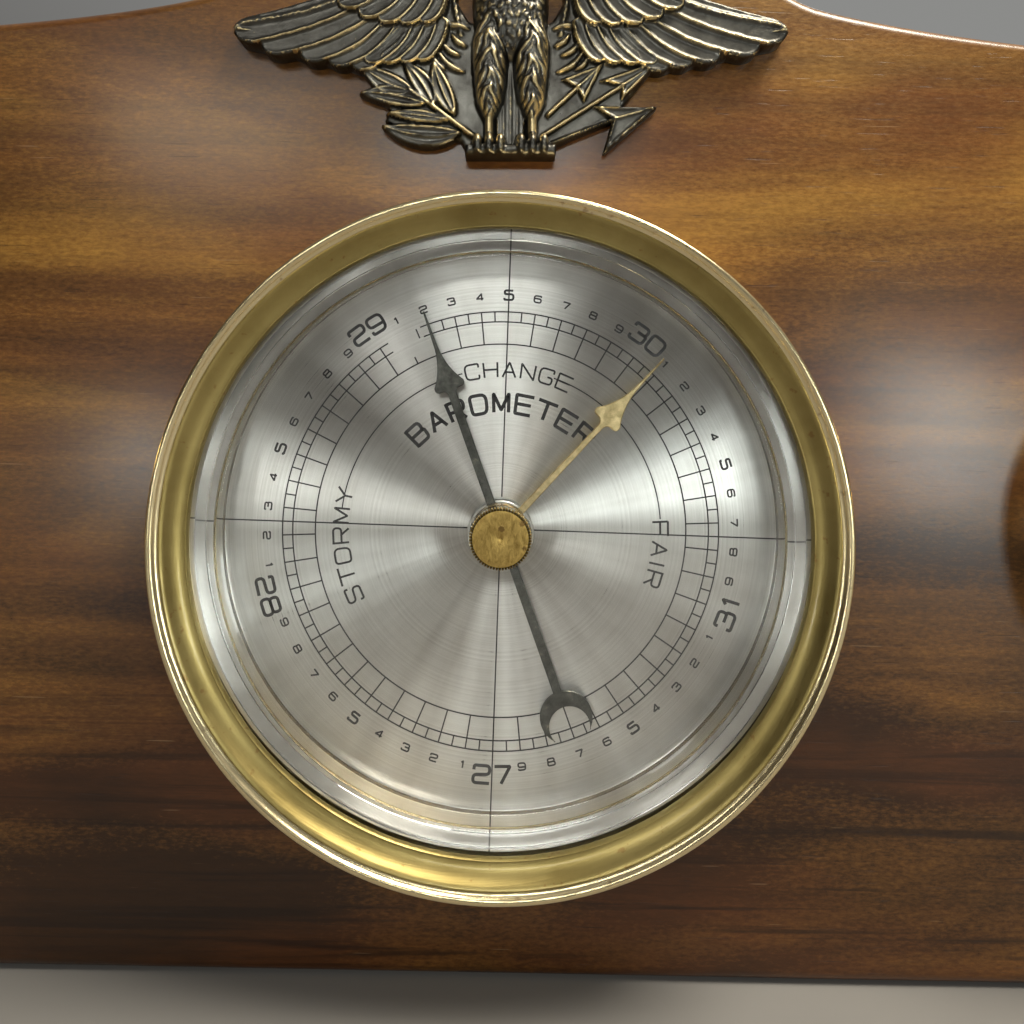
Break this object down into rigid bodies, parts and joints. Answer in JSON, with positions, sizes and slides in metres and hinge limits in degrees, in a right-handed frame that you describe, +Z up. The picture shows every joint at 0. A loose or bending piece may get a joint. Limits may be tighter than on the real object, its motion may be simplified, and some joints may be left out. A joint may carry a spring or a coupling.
{
  "type": "weather station",
  "caption": "Wall plaque with a cast eagle over an aneroid barometer with a set hand, between a dial thermometer and a dial hygrometer.",
  "frame": {"origin": "wall contact point on the plaque's back face, between the barometer's bore and the hanger", "axes": "+X to the viewer's right, +Y out of the back into the wall, +Z up; the dials face -Y"},
  "size_m": [0.394, 0.0352, 0.2115],
  "materials": {
    "plaque_board": "satin lacquered, horizontal grain",
    "eagle_ornament": "antique bronze casting, ridges rubbed bright",
    "hanger_plate": "bright",
    "hanger_screw_lower": "bright",
    "hanger_screw_upper": "bright",
    "barometer_bezel": "polished, lightly scratched",
    "barometer_dial": "spun brushed",
    "barometer_case": "matt black",
    "barometer_lens": "clear moulded window, polished",
    "barometer_case_screw_1": "bright",
    "barometer_case_screw_2": "bright",
    "barometer_case_screw_3": "bright",
    "thermometer_bezel": "polished, lightly scratched",
    "thermometer_dial": "spun brushed",
    "thermometer_case": "matt black",
    "thermometer_lens": "clear moulded window, polished",
    "thermometer_case_screw_1": "bright",
    "thermometer_case_screw_2": "bright",
    "hygrometer_bezel": "polished, lightly scratched",
    "hygrometer_dial": "spun brushed",
    "hygrometer_case": "matt black",
    "hygrometer_lens": "clear moulded window, polished",
    "hygrometer_case_screw_1": "bright",
    "hygrometer_case_screw_2": "bright",
    "movement_base": "bright",
    "link_wire": "bright",
    "rocking_shaft": "bright",
    "drum_chain": "bright",
    "top_bridge": "bright",
    "hand_arbor": "bright",
    "movement_screw_1": "bright",
    "movement_screw_2": "bright",
    "set_washer": "bright",
    "aneroid_capsule": "polished, lightly scratched",
    "adjusting_screw": "polished, lightly scratched",
    "spring_post": "worn",
    "arbor_cock": "worn",
    "set_hand": "worn",
    "set_knob": "worn",
    "bridge_pillar_1": "worn",
    "bridge_pillar_2": "worn",
    "bridge_pillar_3": "worn",
    "bridge_pillar_4": "worn",
    "main_spring": "blued",
    "hairspring": "blued",
    "arbor_bush": "spun brushed",
    "pressure_hand": "dark gunmetal",
    "thermometer_frame": "bright",
    "thermometer_coil": "two metal strips",
    "thermometer_arbor": "bright",
    "thermometer_hand": "dark gunmetal",
    "hygrometer_frame": "bright",
    "hygrometer_coil": "two metal strips",
    "hygrometer_arbor": "bright",
    "hygrometer_hand": "dark gunmetal"
  },
  "bodies": {
    "plaque": {"plaque_board": "plaque_board", "eagle_ornament": "eagle_ornament", "hanger_plate": "hanger_plate", "hanger_screw_lower": "hanger_screw_lower", "hanger_screw_upper": "hanger_screw_upper", "barometer_bezel": "barometer_bezel", "barometer_dial": "barometer_dial", "barometer_case": "barometer_case", "barometer_lens": "barometer_lens", "barometer_case_screw_1": "barometer_case_screw_1", "barometer_case_screw_2": "barometer_case_screw_2", "barometer_case_screw_3": "barometer_case_screw_3", "thermometer_bezel": "thermometer_bezel", "thermometer_dial": "thermometer_dial", "thermometer_case": "thermometer_case", "thermometer_lens": "thermometer_lens", "thermometer_case_screw_1": "thermometer_case_screw_1", "thermometer_case_screw_2": "thermometer_case_screw_2", "hygrometer_bezel": "hygrometer_bezel", "hygrometer_dial": "hygrometer_dial", "hygrometer_case": "hygrometer_case", "hygrometer_lens": "hygrometer_lens", "hygrometer_case_screw_1": "hygrometer_case_screw_1", "hygrometer_case_screw_2": "hygrometer_case_screw_2", "movement_base": "movement_base", "link_wire": "link_wire", "drum_chain": "drum_chain", "top_bridge": "top_bridge", "movement_screw_1": "movement_screw_1", "movement_screw_2": "movement_screw_2", "set_washer": "set_washer", "aneroid_capsule": "aneroid_capsule", "spring_post": "spring_post", "arbor_cock": "arbor_cock", "bridge_pillar_1": "bridge_pillar_1", "bridge_pillar_2": "bridge_pillar_2", "bridge_pillar_3": "bridge_pillar_3", "bridge_pillar_4": "bridge_pillar_4", "main_spring": "main_spring", "hairspring": "hairspring", "arbor_bush": "arbor_bush", "thermometer_frame": "thermometer_frame", "thermometer_coil": "thermometer_coil", "hygrometer_frame": "hygrometer_frame", "hygrometer_coil": "hygrometer_coil"},
    "pressure_hand": {"pressure_hand": "pressure_hand", "hand_arbor": "hand_arbor"},
    "set_hand": {"set_hand": "set_hand", "set_knob": "set_knob"},
    "rocking_shaft": {"rocking_shaft": "rocking_shaft"},
    "adjusting_screw": {"adjusting_screw": "adjusting_screw"},
    "thermometer_hand": {"thermometer_hand": "thermometer_hand", "thermometer_arbor": "thermometer_arbor"},
    "hygrometer_hand": {"hygrometer_hand": "hygrometer_hand", "hygrometer_arbor": "hygrometer_arbor"}
  },
  "joints": [
    {"name": "pressure_hand_turn", "type": "hinge", "parent": "plaque", "child": "pressure_hand", "pos_m": [0, -0.019, -0.061], "axis": [0, 1, 0], "range_deg": [-86.4, 129.6], "stiffness_Nm_per_rad": 0.0003},
    {"name": "set_hand_turn", "type": "hinge", "parent": "plaque", "child": "set_hand", "pos_m": [0, -0.019, -0.061], "axis": [0, 1, 0], "continuous": true},
    {"name": "rocking_shaft_rock", "type": "hinge", "parent": "plaque", "child": "rocking_shaft", "pos_m": [0.024, -0.0085, -0.061], "axis": [0, 0, 1], "range_deg": [-17.5, 12]},
    {"name": "adjusting_screw_turn", "type": "hinge", "parent": "plaque", "child": "adjusting_screw", "pos_m": [-0.024, -0.0027, -0.061], "axis": [0, 1, 0], "range_deg": [-360, 360]},
    {"name": "thermometer_hand_turn", "type": "hinge", "parent": "plaque", "child": "thermometer_hand", "pos_m": [-0.142, -0.019, -0.061], "axis": [0, 1, 0], "range_deg": [-184, 96], "stiffness_Nm_per_rad": 0.0003},
    {"name": "hygrometer_hand_turn", "type": "hinge", "parent": "plaque", "child": "hygrometer_hand", "pos_m": [0.142, -0.019, -0.061], "axis": [0, 1, 0], "range_deg": [-126, 154], "stiffness_Nm_per_rad": 0.0003}
  ],
  "couplings": [
    {"joint": "rocking_shaft_rock", "follows": "pressure_hand_turn", "ratio": -0.13043}
  ]
}
